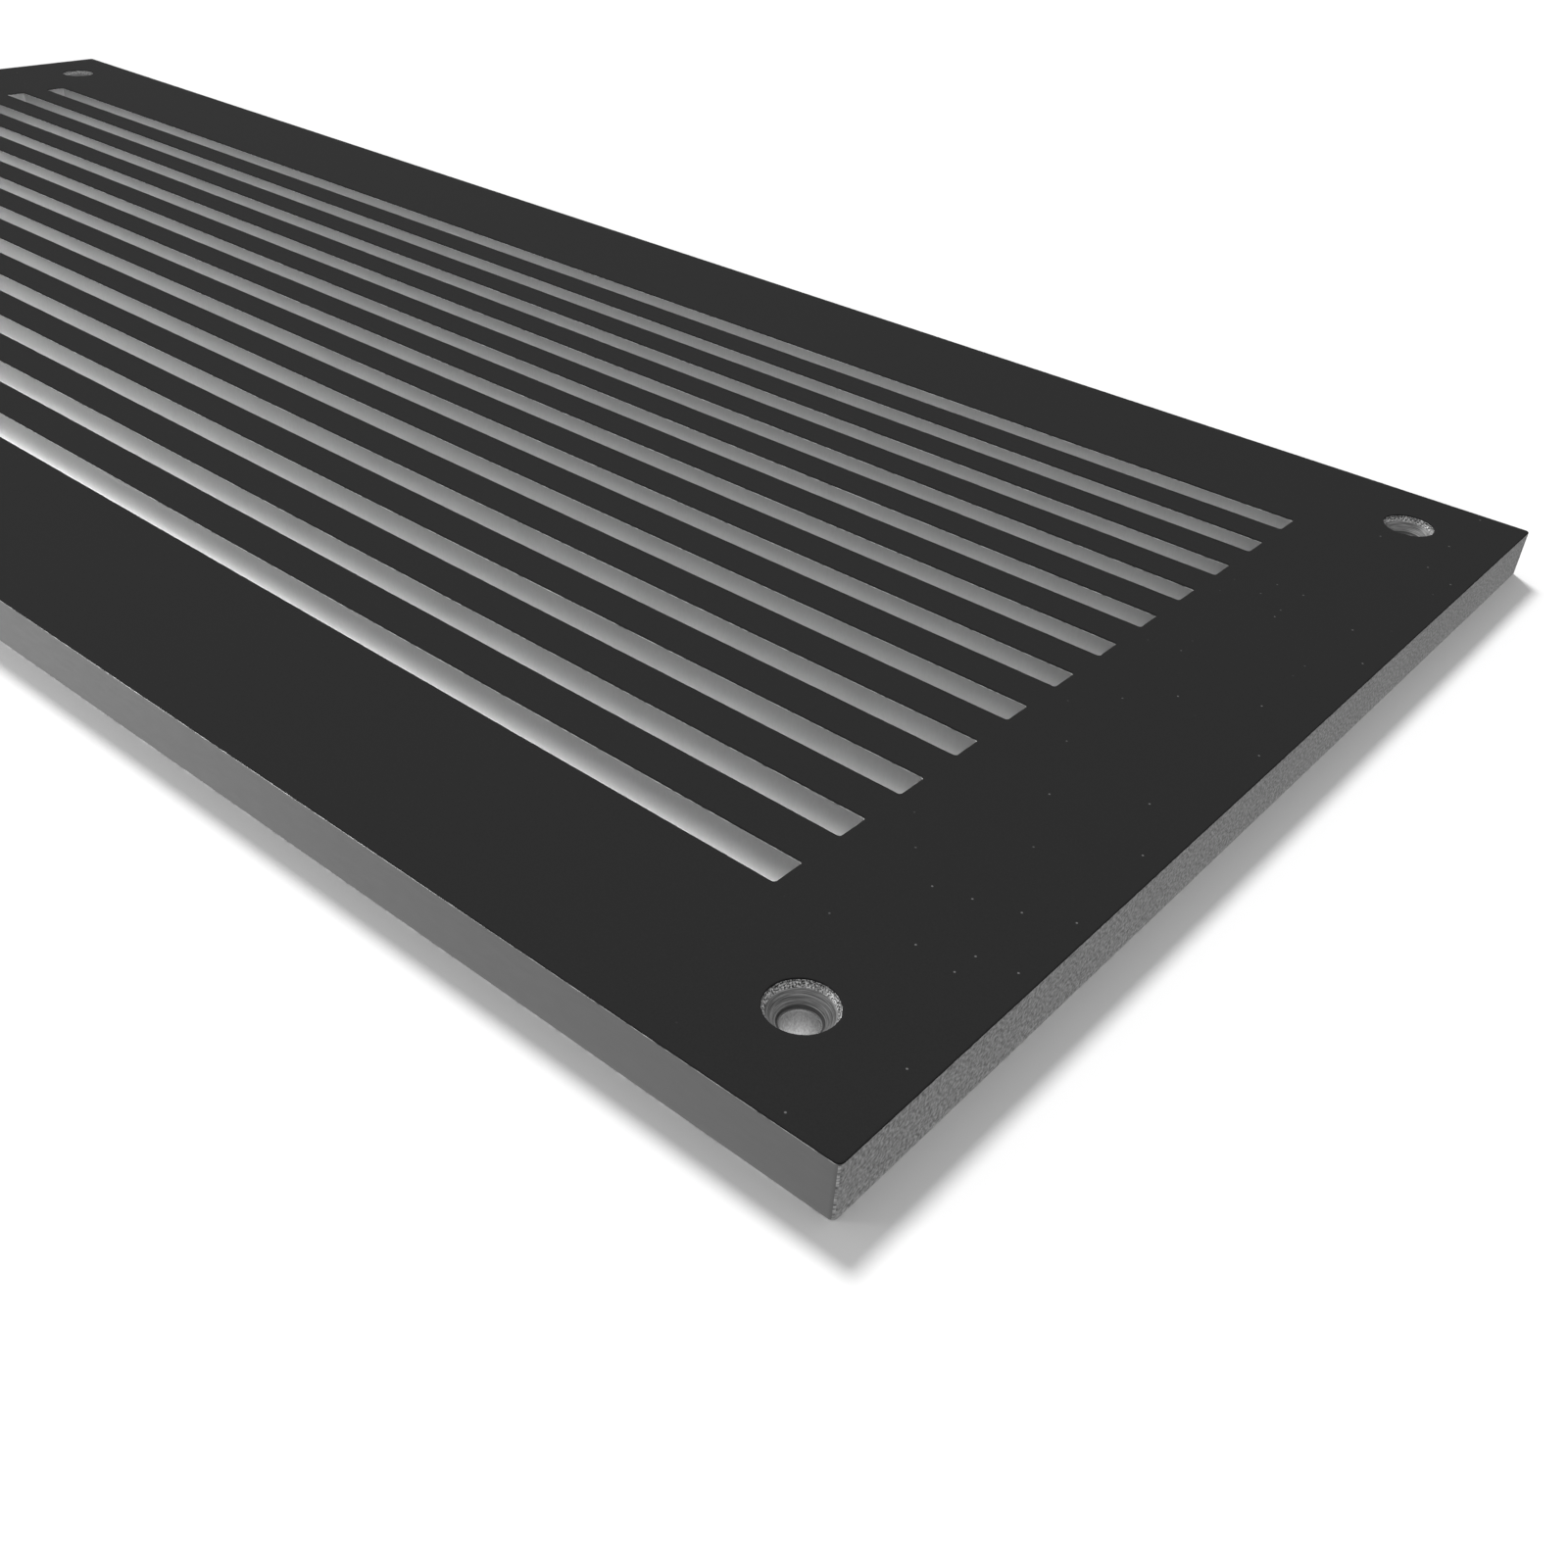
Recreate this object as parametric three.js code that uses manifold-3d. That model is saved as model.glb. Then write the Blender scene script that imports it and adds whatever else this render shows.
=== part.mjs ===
// Vented kick plate: a flat aluminium plate with a field of long parallel air slots and a
// countersunk screw hole in each corner. Its black face is a thin film bonded to the stock
// before it was cut, so every cut wall is bare metal. Millimetres, +Z up.
// The origin is the centre of the back face: X runs along the slots, Y across them, and +Z
// points out of the black face.
import * as THREE from 'three';
import { mergeVertices } from 'three/addons/utils/BufferGeometryUtils.js';
import Module from 'manifold-3d';

const INCH = 25.4;

// Plate
const PLATE_LENGTH = 14 * INCH;
const PLATE_WIDTH = 6 * INCH;
const PLATE_THICKNESS = INCH / 4; // over the film
const FILM_THICKNESS = 0.2;
const CORNER_RADIUS = 0.6;

// Air slots: a row of equal slots, centred on the plate
const SLOT_COUNT = 12;
const SLOT_PITCH = (3 / 8) * INCH;
const SLOT_WIDTH = 4.0;
const END_MARGIN = 24.6; // from the plate's end to the end of a slot
const SLOT_CORNER_RADIUS = 0.3;

// Screw holes, for a number 5 countersunk wood screw
const HOLE_END_INSET = INCH / 2;
const HOLE_SIDE_INSET = (7 / 16) * INCH;
const HOLE_RADIUS = 1.8;
const SINK_RADIUS = 3.3;
const SINK_LAND = 0.4; // straight wall above the cone, which sets the head below the face
const SINK_ANGLE = 82; // included angle of the cone, in degrees
const HOLE_SEGMENTS = 48;
const ARC_SEGMENTS = 2; // ExtrudeGeometry makes twice as many steps on each corner arc

const CUTTER_REACH = 2; // how far a cutting solid runs past the faces

const coreThickness = PLATE_THICKNESS - FILM_THICKNESS;
const slotLength = PLATE_LENGTH - 2 * END_MARGIN;

const wasm = await Module();
wasm.setup();

// Traces a rectangle with round corners, centred on (x, y), on a Shape or a Path.
function roundedRectangle(path, x, y, length, width, radius) {
  const right = x + length / 2 - radius;
  const left = x - length / 2 + radius;
  const top = y + width / 2 - radius;
  const bottom = y - width / 2 + radius;
  path.moveTo(left, bottom - radius);
  path.lineTo(right, bottom - radius);
  path.absarc(right, bottom, radius, -Math.PI / 2, 0);
  path.lineTo(right + radius, top);
  path.absarc(right, top, radius, 0, Math.PI / 2);
  path.lineTo(left, top + radius);
  path.absarc(left, top, radius, Math.PI / 2, Math.PI);
  path.lineTo(left - radius, bottom);
  path.absarc(left, bottom, radius, Math.PI, 1.5 * Math.PI);
  return path;
}

// The plate's outline with its row of slots, cut square through.
function slottedOutline() {
  const outline = roundedRectangle(new THREE.Shape(), 0, 0, PLATE_LENGTH, PLATE_WIDTH, CORNER_RADIUS);
  for (let i = 0; i < SLOT_COUNT; i++) {
    const y = (i - (SLOT_COUNT - 1) / 2) * SLOT_PITCH;
    const slot = roundedRectangle(new THREE.Path(), 0, y, slotLength, SLOT_WIDTH, SLOT_CORNER_RADIUS);
    outline.holes.push(slot);
  }
  return outline;
}

// The outline as a layer that stands on z = 0.
function slottedLayer(thickness) {
  return new THREE.ExtrudeGeometry(slottedOutline(), {
    depth: thickness,
    bevelEnabled: false,
    curveSegments: ARC_SEGMENTS,
  });
}

// The space that one screw takes, from behind the plate to in front of it, with z = 0 on the back face.
function screwSpace() {
  const coneDepth = (SINK_RADIUS - HOLE_RADIUS) / Math.tan(THREE.MathUtils.degToRad(SINK_ANGLE / 2));
  const coneTop = PLATE_THICKNESS - SINK_LAND;
  const profile = [
    new THREE.Vector2(0, -CUTTER_REACH),
    new THREE.Vector2(HOLE_RADIUS, -CUTTER_REACH),
    new THREE.Vector2(HOLE_RADIUS, coneTop - coneDepth),
    new THREE.Vector2(SINK_RADIUS, coneTop),
    new THREE.Vector2(SINK_RADIUS, PLATE_THICKNESS + CUTTER_REACH),
    new THREE.Vector2(0, PLATE_THICKNESS + CUTTER_REACH),
  ];
  return new THREE.LatheGeometry(profile, HOLE_SEGMENTS).rotateX(Math.PI / 2);
}

// The four corners of the screw pattern.
function screwPlaces() {
  const x = PLATE_LENGTH / 2 - HOLE_END_INSET;
  const y = PLATE_WIDTH / 2 - HOLE_SIDE_INSET;
  return [[x, y], [-x, y], [-x, -y], [x, -y]];
}

function toSolid(geometry) {
  const bare = geometry.clone();
  bare.deleteAttribute('normal');
  bare.deleteAttribute('uv');
  const merged = mergeVertices(bare);
  return new wasm.Manifold(new wasm.Mesh({
    numProp: 3,
    vertProperties: merged.attributes.position.array,
    triVerts: new Uint32Array(merged.index.array),
  }));
}

function toGeometry(solid) {
  const mesh = solid.getMesh();
  const geometry = new THREE.BufferGeometry();
  geometry.setAttribute('position', new THREE.BufferAttribute(mesh.vertProperties, 3));
  geometry.setIndex(new THREE.BufferAttribute(mesh.triVerts, 1));
  geometry.computeVertexNormals();
  return geometry;
}

// Takes the four screw spaces out of a layer whose underside is at height z in the plate.
function drilled(geometry, z) {
  let solid = toSolid(geometry);
  for (const [x, y] of screwPlaces()) {
    solid = solid.subtract(toSolid(screwSpace().translate(x, y, -z)));
  }
  return toGeometry(solid);
}

// The aluminium plate under the film.
function grillePlate() {
  const material = new THREE.MeshStandardMaterial({ color: 0x777777, roughness: 0.55, metalness: 0.9 });
  const mesh = new THREE.Mesh(drilled(slottedLayer(coreThickness), 0), material);
  mesh.name = 'grille_plate';
  return mesh;
}

// The black film on the plate's front, cut through with the plate.
function faceFilm() {
  const material = new THREE.MeshStandardMaterial({ color: 0x2e2e2e, roughness: 0.6, metalness: 0 });
  const mesh = new THREE.Mesh(drilled(slottedLayer(FILM_THICKNESS), coreThickness), material);
  mesh.name = 'black_face_film';
  mesh.position.z = coreThickness;
  return mesh;
}

const kickPlate = new THREE.Group();
kickPlate.add(grillePlate(), faceFilm());

export default kickPlate;
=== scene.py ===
"""The looks of the vented kick plate: its bare metal plate and its black face, on a pale floor."""
import math

import bmesh
import bpy
from mathutils import Matrix, Vector, noise


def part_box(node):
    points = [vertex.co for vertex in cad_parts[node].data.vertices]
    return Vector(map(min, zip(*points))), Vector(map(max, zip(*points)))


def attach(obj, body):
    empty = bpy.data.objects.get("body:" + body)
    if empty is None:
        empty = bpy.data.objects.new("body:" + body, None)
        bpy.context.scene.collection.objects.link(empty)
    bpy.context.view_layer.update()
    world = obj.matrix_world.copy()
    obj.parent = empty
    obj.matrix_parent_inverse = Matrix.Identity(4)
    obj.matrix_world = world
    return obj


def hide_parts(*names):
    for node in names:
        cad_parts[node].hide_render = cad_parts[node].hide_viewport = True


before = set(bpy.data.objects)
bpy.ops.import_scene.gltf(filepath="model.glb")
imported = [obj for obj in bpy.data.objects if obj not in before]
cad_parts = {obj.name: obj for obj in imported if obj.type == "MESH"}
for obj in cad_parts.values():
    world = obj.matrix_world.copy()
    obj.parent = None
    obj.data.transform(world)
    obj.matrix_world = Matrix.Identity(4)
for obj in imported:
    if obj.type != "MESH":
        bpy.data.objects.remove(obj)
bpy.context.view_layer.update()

MM = 0.001

# The plate, as packed. Its origin is the centre of the back face, with X along the slots.
plate_low, plate_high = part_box("grille_plate")
face_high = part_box("black_face_film")[1]
LENGTH = plate_high.x - plate_low.x
WIDTH = plate_high.y - plate_low.y
TOP = face_high.z
CORNER_RADIUS = 0.6 * MM
CORNER_STEPS = 8

# Air slots
SLOT_COUNT = 12
SLOT_PITCH = 9.525 * MM
SLOT_WIDTH = 4.0 * MM
SLOT_END_MARGIN = 24.6 * MM
SLOT_LENGTH = LENGTH - 2 * SLOT_END_MARGIN
SLOT_CORNER_RADIUS = 0.3 * MM
SLOT_CORNER_STEPS = 6

# Countersunk holes
HOLE_END_INSET = 12.7 * MM
HOLE_SIDE_INSET = 11.1125 * MM
HOLE_RADIUS = 1.8 * MM
SINK_RADIUS = 3.3 * MM
SINK_SPREAD = SINK_RADIUS - HOLE_RADIUS
SINK_LAND = 0.4 * MM      # straight wall above the cone
SINK_ANGLE = math.radians(82)
HOLE_SEGMENTS = 144

# Edges
COAT = 0.16 * MM          # thickness of the black finish
METAL_TOP = TOP - COAT
ARRIS = 0.03 * MM         # how far the broken edge runs across the face
ARRIS_DROP = 0.05 * MM    # and how far down the wall
BACK_ARRIS = 0.12 * MM    # the same on the back, both ways
CAP_MARGIN = 0.25 * MM    # a flat strip round each cap, which keeps its shading flat
SHARP_ANGLE = math.radians(50)

# The stage: the lit panes lie just under the plate, and the floor just under them
BRIGHT_Z, PALE_Z, FLOOR_Z = -0.01 * MM, -0.02 * MM, -0.03 * MM
FLOOR_SIZE = 6.0
WALL_RADIUS = 2.9
WALL_HEIGHT = 2.5

# Order of the materials on the plate
# The dark finish at the foot of each cone, and on the top of its burr, is painted shade.
LONG_EDGE, END_EDGE, SLOT_WALL, BORE, CONE_FOOT_SHADE, CONE, LAND, BROKEN_EDGE, BACK = range(9)


# ---------------------------------------------------------------- outlines

def rounded_rectangle(x, y, length, width, radius, spacing, arc_steps, air):
    """Points round a rectangle, each with its normal into the air: air is 1 outside, -1 inside.

    spacing is how far apart the points are along X and along Y.
    """
    sides = (1, 1), (-1, 1), (-1, -1), (1, -1)
    points = []
    for quarter, (side_x, side_y) in enumerate(sides):
        centre_x = x + side_x * (length / 2 - radius)
        centre_y = y + side_y * (width / 2 - radius)
        for i in range(arc_steps + 1):
            angle = (quarter + i / arc_steps) * math.pi / 2
            nx, ny = math.cos(angle), math.sin(angle)
            points.append((centre_x + radius * nx, centre_y + radius * ny, air * nx, air * ny))
        along_y = quarter % 2
        run = (width if along_y else length) - 2 * radius
        count = max(1, round(run / spacing[along_y]))
        start_x, start_y, nx, ny = points[-1]
        step_x, step_y = -air * ny * run / count, air * nx * run / count
        for i in range(1, count):
            points.append((start_x + i * step_x, start_y + i * step_y, nx, ny))
    return points


def circle(x, y, radius, segments):
    """Points round a hole, each with its normal towards the hole's axis."""
    points = []
    for i in range(segments):
        angle = 2 * math.pi * i / segments
        nx, ny = math.cos(angle), math.sin(angle)
        points.append((x + radius * nx, y + radius * ny, -nx, -ny))
    return points


def plate_outline(spacing):
    """The outline of the whole plate."""
    return rounded_rectangle(0, 0, LENGTH, WIDTH, CORNER_RADIUS, spacing, CORNER_STEPS, 1)


def slot_outline(y, spacing):
    """The outline of the slot whose middle line is at y."""
    return rounded_rectangle(
        0, y, SLOT_LENGTH, SLOT_WIDTH, SLOT_CORNER_RADIUS, spacing, SLOT_CORNER_STEPS, -1)


def slot_lines():
    """Where the middle line of each slot is across the plate, from the front to the back."""
    return [(i - (SLOT_COUNT - 1) / 2) * SLOT_PITCH for i in range(SLOT_COUNT)]


def hole_places():
    """The centre of each of the four holes."""
    x = LENGTH / 2 - HOLE_END_INSET
    y = WIDTH / 2 - HOLE_SIDE_INSET
    return [(x, y), (-x, y), (-x, -y), (x, -y)]


# ---------------------------------------------------------------- walls and caps

def add_ring(bm, outline, depth, z, roughen=None):
    """A ring of vertices, each depth behind the outline, into the material."""
    ring = []
    for x, y, nx, ny in outline:
        back = depth + (roughen(x, y, z) if roughen else 0)
        ring.append(bm.verts.new((x - nx * back, y - ny * back, z)))
    return ring


def join_rings(bm, lower, upper, material):
    """Faces between two rings. material is a number, or a function that picks one for a face."""
    count = len(lower)
    for i in range(count):
        j = (i + 1) % count
        face = bm.faces.new((lower[i], lower[j], upper[j], upper[i]))
        face.material_index = material(face) if callable(material) else material
        face.smooth = True


def add_wall(bm, outline, profile, roughen=None):
    """Rings from the back to the front. profile rows are (depth, z, material up to this ring)."""
    rings = []
    for depth, z, material in profile:
        ring = add_ring(bm, outline, depth, z, roughen)
        if rings:
            join_rings(bm, rings[-1], ring, material)
        rings.append(ring)
    return rings[0], rings[-1]


def add_cap(bm, rings, material):
    """Fills the plane between rings of vertices."""
    edges = []
    for ring in rings:
        for i, vertex in enumerate(ring):
            edges.append(bm.edges.get((vertex, ring[(i + 1) % len(ring)])))
    filled = bmesh.ops.triangle_fill(bm, use_beauty=True, use_dissolve=False, edges=edges, normal=(0, 0, 1))
    for item in filled["geom"]:
        if isinstance(item, bmesh.types.BMFace):
            item.material_index = material
            item.smooth = True


def add_walls_and_caps(bm, walls, back_material, front_material):
    """Every wall, given as (outline, profile, roughen), and the two flat faces between them."""
    lower, upper = [], []
    for outline, profile, roughen in walls:
        first, last = add_wall(bm, outline, profile, roughen)
        lower.append(first)
        upper.append(last)
    add_cap(bm, lower, back_material)
    add_cap(bm, upper, front_material)


def new_piece(name, bm, materials, node):
    """Makes the finished mesh an object that stands for a CAD node."""
    bmesh.ops.recalc_face_normals(bm, faces=bm.faces)
    mesh = bpy.data.meshes.new(name)
    bm.to_mesh(mesh)
    bm.free()
    for material in materials:
        mesh.materials.append(material)
    mesh.set_sharp_from_angle(angle=SHARP_ANGLE)
    piece = bpy.data.objects.new(name, mesh)
    bpy.context.scene.collection.objects.link(piece)
    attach(piece, "root")
    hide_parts(node)


def rounded_edge(depth, drop, top, steps, material):
    """Profile rows that round a wall over onto the face above it."""
    rows = []
    for i in range(1, steps + 1):
        angle = i / steps * math.pi / 2
        rows.append((depth * (1 - math.cos(angle)), top - drop * (1 - math.sin(angle)), material))
    return rows


def straight_rise(depth, low, high, steps, material):
    """Profile rows that go straight up a wall."""
    return [(depth, low + (high - low) * i / steps, material) for i in range(1, steps + 1)]


# ---------------------------------------------------------------- slots and outer edges

def straight_profile(material, rise_steps):
    """A square-cut wall from the back face to the front, with both its edges broken."""
    bulge = 0.3 * BACK_ARRIS    # how near the middle of the back's broken edge is to the true corner
    rows = [(BACK_ARRIS + CAP_MARGIN, 0, None), (BACK_ARRIS, 0, BACK)]
    rows += [(bulge, bulge, BROKEN_EDGE), (0, BACK_ARRIS, BROKEN_EDGE)]
    rows += straight_rise(0, BACK_ARRIS, METAL_TOP - ARRIS_DROP, rise_steps, material)
    rows += rounded_edge(ARRIS, ARRIS_DROP, METAL_TOP, steps=4, material=BROKEN_EDGE)
    rows.append((ARRIS + CAP_MARGIN, METAL_TOP, SLOT_WALL))
    return rows


def outer_material(face):
    """The ends are cut across the stock, and the long edges are as it was made. The ends' finish is also
    lighter than the long edges' as painted light from the right.
    """
    least_turn = 0.55    # a normal with at least this much of both X and Y is on a corner
    face.normal_update()
    normal = face.normal
    if min(abs(normal.x), abs(normal.y)) > least_turn:
        return BROKEN_EDGE
    return END_EDGE if abs(normal.x) > abs(normal.y) else LONG_EDGE


def end_grit(x, y, z):
    """The sandy cut of the two ends, in metres into the metal."""
    if abs(x) < LENGTH / 2 - 0.01 * MM:
        return 0.0
    coarse_grain, fine_grain = 0.9 * MM, 0.45 * MM
    mean_depth, swing = 0.012 * MM, 0.006 * MM
    elsewhere = 7.0    # the fine grit is read from another slice of the noise
    coarse = noise.noise(Vector((0.0, y, z)) / coarse_grain)
    fine = noise.noise(Vector((elsewhere, y / fine_grain, z / fine_grain)))
    return mean_depth + swing * (coarse + fine)


# ---------------------------------------------------------------- countersinks

def bore_rows(cone_foot):
    """The scored bore, up to the burr that the countersink left at its top."""
    steps = 16
    score = 0.012 * MM
    top = cone_foot - 0.1 * MM    # where the burr starts
    rows = []
    for i in range(1, steps + 1):
        rows.append((score * (i % 2), BACK_ARRIS + (top - BACK_ARRIS) * i / steps, BORE))
    burr_low = (-0.03 * MM, cone_foot - 0.03 * MM, BORE)
    # The burr's top takes the dark finish of the cone's foot, which is painted shade.
    burr_high = (-0.02 * MM, cone_foot + 0.04 * MM, CONE_FOOT_SHADE)
    return rows + [burr_low, burr_high]


def cone_rows(cone_foot, cone_depth):
    """The cone with the cutter's rings. Its foot is darkened with painted shade, and its top is chattered,
    where it takes the land's finish.
    """
    steps = 28
    ring_count, ring_depth = 5.5, 0.008 * MM
    score = 0.003 * MM
    shaded_foot_share, land_share = 0.18, 0.82    # where on the cone the plain finish starts, above the painted shade at the foot, and ends
    rows = []
    for i in range(1, steps + 1):
        share = i / steps
        ring = ring_depth * math.sin(share * ring_count * 2 * math.pi) + score * (i % 2)
        material = CONE_FOOT_SHADE if share < shaded_foot_share else CONE if share < land_share else LAND
        rows.append((share * SINK_SPREAD + ring, cone_foot + share * cone_depth, material))
    return rows


def sink_profile():
    """From the back face up the bore, out along the ringed cone, and up the land to the face."""
    cone_top = TOP - SINK_LAND
    cone_depth = SINK_SPREAD / math.tan(SINK_ANGLE / 2)
    cone_foot = cone_top - cone_depth
    rows = [(BACK_ARRIS + CAP_MARGIN, 0, None), (BACK_ARRIS, 0, BACK), (0, BACK_ARRIS, BROKEN_EDGE)]
    rows += bore_rows(cone_foot)
    rows += cone_rows(cone_foot, cone_depth)
    rows += straight_rise(SINK_SPREAD, cone_top, METAL_TOP - ARRIS_DROP, steps=5, material=LAND)
    for depth, z, material in rounded_edge(ARRIS, ARRIS_DROP, METAL_TOP, steps=3, material=LAND):
        rows.append((SINK_SPREAD + depth, z, material))
    rows.append((SINK_SPREAD + ARRIS + CAP_MARGIN, METAL_TOP, LAND))
    return rows


def sink_chatter(centre):
    """Tool chatter round the top of a countersink, which leaves short upright marks on its land."""
    chatter_foot = TOP - 2.2 * SINK_LAND
    cap_height = METAL_TOP - 0.001 * MM
    # How many marks there are in a radian, how tall they are and how deep
    around, height, depth = 9, 0.8 * MM, 0.05 * MM
    fine_around, fine_height, fine_depth = 24, 0.4 * MM, 0.03 * MM

    def roughen(x, y, z):
        if z >= cap_height:
            return 0.0
        angle = math.atan2(y - centre[1], x - centre[0])
        strength = max(0.0, min(1.0, (z - chatter_foot) / SINK_LAND))
        across, along = math.cos(angle), math.sin(angle)
        marks = noise.noise(Vector((across * around, along * around, z / height)))
        fine = noise.noise(Vector((across * fine_around, along * fine_around, z / fine_height)))
        return strength * (depth * marks + fine_depth * fine)
    return roughen


# ---------------------------------------------------------------- the two pieces

def build_plate(materials):
    """The bare metal plate, with its slots and countersunk holes."""
    outer_profile = straight_profile(outer_material, rise_steps=14)
    slot_profile = straight_profile(SLOT_WALL, rise_steps=3)
    walls = [(plate_outline(spacing=(2 * MM, 0.5 * MM)), outer_profile, end_grit)]
    for y in slot_lines():
        walls.append((slot_outline(y, spacing=(4 * MM, 1 * MM)), slot_profile, None))
    for centre in hole_places():
        walls.append((circle(*centre, HOLE_RADIUS, HOLE_SEGMENTS), sink_profile(), sink_chatter(centre)))
    bm = bmesh.new()
    add_walls_and_caps(bm, walls, BACK, SLOT_WALL)
    new_piece("plate_body", bm, materials, "grille_plate")


def ragged_edge(x, y, z):
    """How far the cut edge of the black finish wanders, in metres."""
    reach = 0.035 * MM
    coarse_size, fine_size = 1.7 * MM, 0.5 * MM
    elsewhere = 3 * MM    # the fine part is read from another slice of the noise
    coarse = noise.noise(Vector((x, y, 0)) / coarse_size)
    fine = noise.noise(Vector((x, y, elsewhere)) / fine_size)
    return reach * (coarse + fine) / 2


def build_face(material):
    """The black finish, with a soft upper edge along every cut."""
    inset = ARRIS - 0.01 * MM    # the finish just overhangs the metal's broken edge
    lip = 0.6 * COAT
    profile = [(inset + CAP_MARGIN, METAL_TOP, None), (inset, METAL_TOP, 0), (inset, TOP - lip, 0)]
    for depth, z, number in rounded_edge(lip, lip, TOP, steps=3, material=0):
        profile.append((inset + depth, z, number))
    profile.append((inset + CAP_MARGIN, TOP, 0))
    outlines = [plate_outline(spacing=(0.6 * MM, 0.6 * MM))]
    outlines += [slot_outline(y, spacing=(1.2 * MM, 1 * MM)) for y in slot_lines()]
    outlines += [circle(x, y, SINK_RADIUS, HOLE_SEGMENTS) for x, y in hole_places()]
    bm = bmesh.new()
    add_walls_and_caps(bm, [(outline, profile, ragged_edge) for outline in outlines], 0, 0)
    new_piece("black_face", bm, [material], "black_face_film")


# ---------------------------------------------------------------- material nodes

def new_material(name):
    """A new material, with its nodes, its links and its shader."""
    material = bpy.data.materials.new(name)
    material.use_nodes = True
    nodes = material.node_tree.nodes
    return material, nodes, material.node_tree.links, nodes["Principled BSDF"]


def scaled_noise(nodes, links, size, detail, stretch=(1, 1, 1)):
    """Noise in the part's own coordinates. size is that of its grains, in metres."""
    place = nodes.new("ShaderNodeTexCoord")
    mapping = nodes.new("ShaderNodeMapping")
    mapping.inputs["Scale"].default_value = [1 / (size * s) for s in stretch]
    texture = nodes.new("ShaderNodeTexNoise")
    texture.inputs["Scale"].default_value = 1.0
    texture.inputs["Detail"].default_value = detail
    links.new(place.outputs["Object"], mapping.inputs["Vector"])
    links.new(mapping.outputs["Vector"], texture.inputs["Vector"])
    return texture.outputs["Fac"]


def remap(nodes, links, value, low, high, start=0.3, end=0.7):
    """Takes start to end, where most of a noise lies, onto low to high."""
    node = nodes.new("ShaderNodeMapRange")
    node.inputs["From Min"].default_value = start
    node.inputs["From Max"].default_value = end
    node.inputs["To Min"].default_value = low
    node.inputs["To Max"].default_value = high
    links.new(value, node.inputs["Value"])
    return node.outputs["Result"]


def bump(nodes, links, value, height):
    """Bump of the given height in metres."""
    node = nodes.new("ShaderNodeBump")
    node.inputs["Strength"].default_value = 1.0
    node.inputs["Distance"].default_value = height
    links.new(value, node.inputs["Height"])
    return node.outputs["Normal"]


def combine(nodes, links, operation, first, second):
    """The sum or product of two values, by the operation's name."""
    node = nodes.new("ShaderNodeMath")
    node.operation = operation
    links.new(first, node.inputs[0])
    links.new(second, node.inputs[1])
    return node.outputs["Value"]


def grey(nodes, links, value):
    """The grey colour of a value."""
    node = nodes.new("ShaderNodeCombineColor")
    for channel in ("Red", "Green", "Blue"):
        links.new(value, node.inputs[channel])
    return node.outputs["Color"]


# ---------------------------------------------------------------- metal and black finish

def metal(name, shade, spread, roughness, grain, relief=0, uneven=0.06, stretch=(1, 1, 1), metallic=0.3,
          ior=1.5):
    """Bare aluminium. Its grain moves the shade by spread, the roughness by uneven, the bump by relief."""
    patch, drift = 30 * grain, 0.03    # the shade also drifts a little from patch to patch
    material, nodes, links, shader = new_material(name)
    fine = scaled_noise(nodes, links, grain, 3.0, stretch)
    broad = scaled_noise(nodes, links, patch, 2.0, stretch)
    mottle = remap(nodes, links, fine, -spread, spread)
    base = remap(nodes, links, broad, (1 - drift) * shade, (1 + drift) * shade)
    tone = combine(nodes, links, "ADD", mottle, base)
    links.new(grey(nodes, links, tone), shader.inputs["Base Color"])
    shader.inputs["Roughness"].default_value = roughness
    if uneven:
        sheen = remap(nodes, links, fine, roughness - uneven, roughness + uneven)
        links.new(sheen, shader.inputs["Roughness"])
    if relief:
        links.new(bump(nodes, links, fine, relief), shader.inputs["Normal"])
    shader.inputs["Metallic"].default_value = metallic
    shader.inputs["IOR"].default_value = ior
    return material


def plate_metals():
    """The plate's finishes, in the order of their numbers."""
    return [
        metal("long_edge_metal", shade=0.148, spread=0.008, roughness=0.50, grain=0.35 * MM,
              relief=0.004 * MM, stretch=(6, 1, 1)),
        # Lighter than the long edges partly as painted light from the right; its sandy mottle is the sawn
        # cut's.
        metal("end_edge_metal", shade=0.238, spread=0.15, roughness=0.65, grain=0.34 * MM,
              relief=0.02 * MM),
        metal("slot_wall_metal", shade=0.145, spread=0.004, roughness=0.27, grain=0.3 * MM,
              uneven=0, stretch=(1, 1, 3), metallic=0.0),
        metal("bore_metal", shade=0.17, spread=0.05, roughness=0.60, grain=0.16 * MM,
              relief=0.01 * MM, stretch=(1, 1, 2), metallic=0.0, ior=1.25),
        # Painted shade: a near-black finish in the recess at the foot of each cone.
        metal("cone_foot_shade_metal", shade=0.07, spread=0.03, roughness=0.50, grain=0.1 * MM,
              relief=0.004 * MM, stretch=(40, 40, 1), metallic=0.6),
        metal("cone_metal", shade=0.22, spread=0.16, roughness=0.45, grain=0.08 * MM,
              relief=0.008 * MM, stretch=(30, 30, 1), metallic=0.6),
        # Lighter than the cone partly as painted light; its coarse speckle is the chatter's.
        metal("land_metal", shade=0.33, spread=0.60, roughness=0.45, grain=0.15 * MM,
              relief=0.03 * MM, metallic=0.6),
        metal("broken_edge_metal", shade=0.30, spread=0.25, roughness=0.45, grain=0.22 * MM,
              relief=0.02 * MM, stretch=(4, 4, 1), metallic=0.5),
        metal("back_metal", shade=0.42, spread=0.02, roughness=0.40, grain=0.3 * MM,
              relief=0.004 * MM, stretch=(12, 1, 1), metallic=0.85),
    ]


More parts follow.
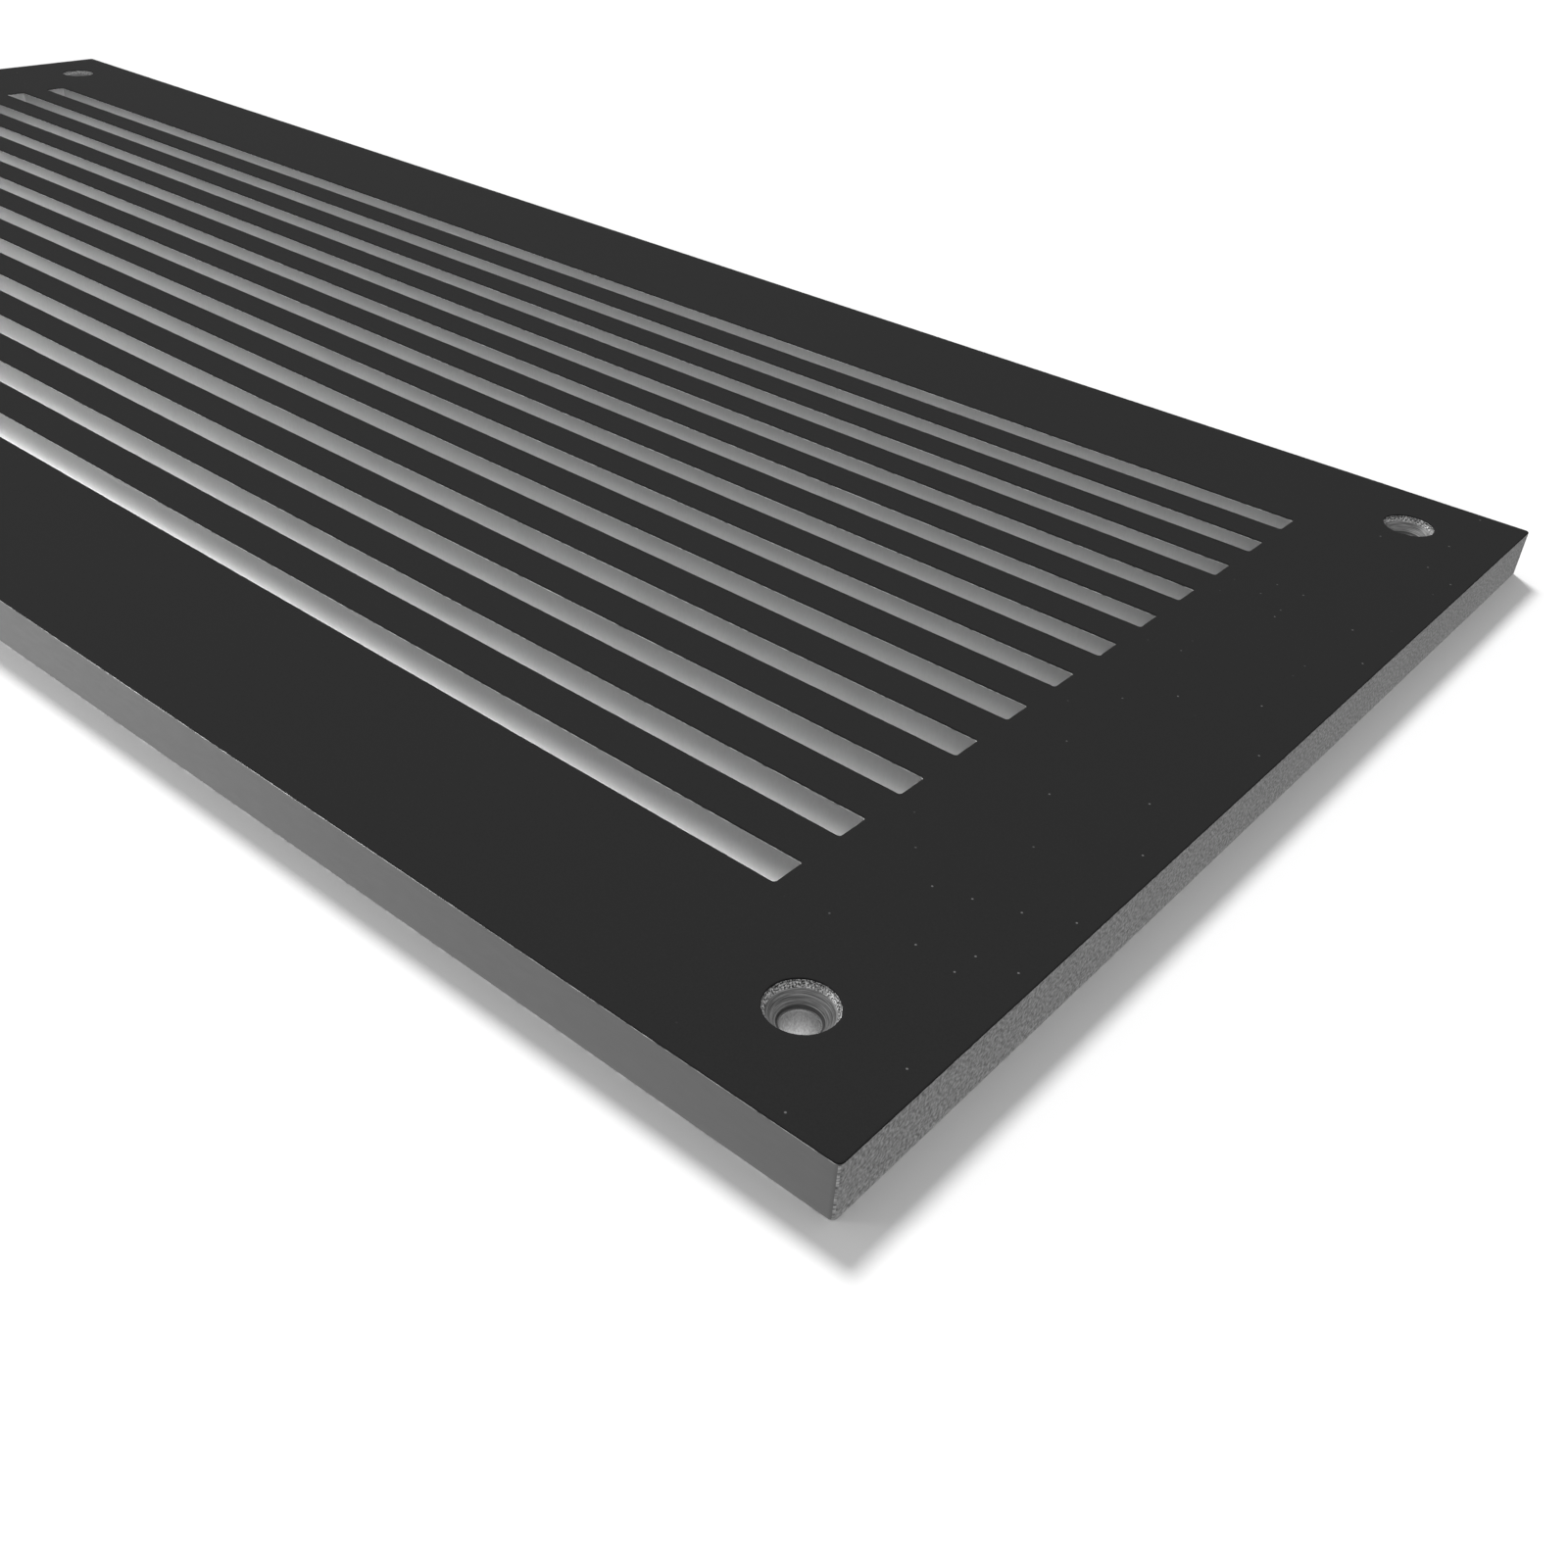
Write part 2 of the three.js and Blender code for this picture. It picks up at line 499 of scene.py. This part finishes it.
def near_ends(nodes, links, place):
    """1 between the corner holes and the plate's ends, fading to 0 over a distance inwards."""
    fade = 12 * MM
    hole_line = LENGTH / 2 - HOLE_END_INSET
    parts = nodes.new("ShaderNodeSeparateXYZ")
    links.new(place, parts.inputs["Vector"])
    distance = nodes.new("ShaderNodeMath")
    distance.operation = "ABSOLUTE"
    links.new(parts.outputs["X"], distance.inputs[0])
    return remap(nodes, links, distance.outputs["Value"], 0, 1, hole_line - fade, hole_line)


def specks(nodes, links, spacing, radius, brightness):
    """Sparse specks by the sawn ends, in about a fifth of the cells of the given size."""
    core = 0.6 * radius                   # a speck is evenly bright as far out as this
    empty_below, full_above = 0.78, 0.83    # a cell has a speck or not by its own random number, 0 to 1
    place = nodes.new("ShaderNodeTexCoord").outputs["Object"]
    cells = nodes.new("ShaderNodeTexVoronoi")
    cells.voronoi_dimensions = "2D"
    cells.inputs["Scale"].default_value = 1 / spacing
    links.new(place, cells.inputs["Vector"])
    parts = nodes.new("ShaderNodeSeparateColor")
    links.new(cells.outputs["Color"], parts.inputs["Color"])
    distance = cells.outputs["Distance"]
    spot = remap(nodes, links, distance, brightness, 0, core / spacing, radius / spacing)
    chosen = remap(nodes, links, parts.outputs["Red"], 0, 1, empty_below, full_above)
    scattered = combine(nodes, links, "MULTIPLY", spot, chosen)
    return combine(nodes, links, "MULTIPLY", scattered, near_ends(nodes, links, place))


def black_finish():
    """Flat black with a very fine grain and a few pale specks."""
    darkest, palest = 0.0160, 0.0184
    smoothest, roughest = 0.85, 0.95
    material, nodes, links, shader = new_material("black_finish")
    grain = scaled_noise(nodes, links, size=0.18 * MM, detail=2.0)
    shade = remap(nodes, links, grain, darkest, palest)
    flecks = specks(nodes, links, spacing=4 * MM, radius=0.13 * MM, brightness=0.10)
    tone = combine(nodes, links, "ADD", shade, flecks)
    links.new(grey(nodes, links, tone), shader.inputs["Base Color"])
    links.new(remap(nodes, links, grain, smoothest, roughest), shader.inputs["Roughness"])
    links.new(bump(nodes, links, grain, height=0.006 * MM), shader.inputs["Normal"])
    shader.inputs["Specular IOR Level"].default_value = 0.03
    return material


# ---------------------------------------------------------------- stage

def add_floor():
    """A pale floor, which takes the shadow but gives the plate no light."""
    bpy.ops.mesh.primitive_plane_add(size=FLOOR_SIZE, location=(0, 0, FLOOR_Z))
    floor = bpy.context.object
    floor.name = "floor"
    material, _, _, shader = new_material("pale_floor")
    shader.inputs["Base Color"].default_value = (0.76, 0.76, 0.76, 1)
    shader.inputs["Roughness"].default_value = 0.9
    shader.inputs["Specular IOR Level"].default_value = 0.0
    floor.data.materials.append(material)
    floor.visible_diffuse = False
    floor.visible_glossy = False


def lit_material(name, strength):
    """White light of the given strength, which reflects nothing."""
    material, _, _, shader = new_material(name)
    shader.inputs["Base Color"].default_value = (0, 0, 0, 1)
    shader.inputs["Specular IOR Level"].default_value = 0.0
    shader.inputs["Emission Color"].default_value = (1, 1, 1, 1)
    shader.inputs["Emission Strength"].default_value = strength
    return material


def add_lit_panes(name, panes, z, strength):
    """Level rectangles that give light, each given by its middle and its two sides."""
    points, faces = [], []
    for x, y, length, width in panes:
        for side_x, side_y in ((-1, -1), (1, -1), (1, 1), (-1, 1)):
            points.append((x + side_x * length / 2, y + side_y * width / 2, z))
        faces.append(range(len(points) - 4, len(points)))
    mesh = bpy.data.meshes.new(name)
    mesh.from_pydata(points, [], faces)
    mesh.materials.append(lit_material(name, strength))
    light = bpy.data.objects.new(name, mesh)
    bpy.context.scene.collection.objects.link(light)
    return light


def add_bright_strips():
    """Strips that light the slots and the two front holes from below, and that the camera doesn't see.

    They lie towards the far side of the front slots, and nearer the middle of each slot behind.
    """
    width = 1.7 * MM
    first_offset, step = 1.1 * MM, 0.07 * MM
    strips = []
    for i, y in enumerate(slot_lines()):
        strips.append((0, y + first_offset - i * step, SLOT_LENGTH, width))
    strips += [(x, y, HOLE_RADIUS, HOLE_RADIUS) for x, y in hole_places() if y < 0]
    add_lit_panes("bright_strips", strips, BRIGHT_Z, strength=20.0).visible_camera = False


def add_pale_panes():
    """The pale light that the camera sees through the slots and holes from above."""
    panes = [(0, y, SLOT_LENGTH, SLOT_WIDTH) for y in slot_lines()]
    panes += [(x, y, 2 * HOLE_RADIUS, 2 * HOLE_RADIUS) for x, y in hole_places()]
    add_lit_panes("pale_panes", panes, PALE_Z, strength=0.9)


def add_backdrop():
    """A white wall round the floor, which the camera sees and the light ignores."""
    bpy.ops.mesh.primitive_cylinder_add(
        vertices=96, radius=WALL_RADIUS, depth=2 * WALL_HEIGHT, end_fill_type="NOTHING")
    wall = bpy.context.object
    wall.name = "backdrop"
    wall.data.materials.append(lit_material("white_wall", strength=1.0))
    wall.visible_diffuse = False
    wall.visible_glossy = False
    wall.visible_transmission = False
    wall.visible_shadow = False


def direction(azimuth, elevation):
    """Towards a place round the plate and above it, in degrees. Azimuth 0 is in front, 90 on the right."""
    turn, rise = math.radians(azimuth), math.radians(elevation)
    return Vector((math.sin(turn) * math.cos(rise), -math.cos(turn) * math.cos(rise), math.sin(rise)))


def add_light(light, place, source):
    """A light at a place. source points from what it shines on towards where its light comes from."""
    holder = bpy.data.objects.new(light.name, light)
    holder.location = place
    holder.rotation_euler = source.to_track_quat("Z", "Y").to_euler()
    bpy.context.scene.collection.objects.link(holder)
    return holder


def add_world():
    """Even white light all round."""
    world = bpy.data.worlds.new("studio")
    world.use_nodes = True
    background = world.node_tree.nodes["Background"]
    background.inputs["Color"].default_value = (1, 1, 1, 1)
    background.inputs["Strength"].default_value = 0.62
    bpy.context.scene.world = world


def add_sun():
    """A soft sun from behind and to the left, which throws the shadow to the front."""
    sun = bpy.data.lights.new("sun", "SUN")
    sun.energy = 3.1
    sun.angle = math.radians(13)
    add_light(sun, (0, 0, 0), direction(233.6, 50.6))


def add_soft_box():
    """A lamp low at the front left, which brightens the long edge towards the left."""
    lamp = bpy.data.lights.new("soft_box", "AREA")
    lamp.energy = 0.40
    lamp.size = 60 * MM
    place = Vector((-60, -260, 32)) * MM
    aim = Vector((70 * MM, -WIDTH / 2, 3 * MM))
    add_light(lamp, place, place - aim).visible_camera = False


def add_camera():
    """Looks down on the front right corner, turned and tipped a little."""
    target = Vector((LENGTH / 2 - 33.7 * MM, -WIDTH / 2 + 34.1 * MM, TOP))
    distance = 152.55 * MM
    azimuth, elevation, roll = 37.08, 34.94, math.radians(4.66)
    back = direction(azimuth, elevation)
    right = direction(azimuth + 90, 0)
    up = back.cross(right)
    tipped_right = math.cos(roll) * right + math.sin(roll) * up
    tipped_up = math.cos(roll) * up - math.sin(roll) * right
    camera = bpy.data.objects.new("camera", bpy.data.cameras.new("camera"))
    camera.data.lens = 36.05
    camera.data.sensor_width = 36
    camera.data.clip_start = 10 * MM
    turn = Matrix((tipped_right, tipped_up, back)).transposed()
    camera.matrix_world = Matrix.Translation(target + back * distance) @ turn.to_4x4()
    bpy.context.scene.collection.objects.link(camera)
    bpy.context.scene.camera = camera


build_plate(plate_metals())
build_face(black_finish())
add_floor()
add_bright_strips()
add_pale_panes()
add_backdrop()
add_world()
add_sun()
add_soft_box()
add_camera()
bpy.context.scene.view_settings.view_transform = "Standard"
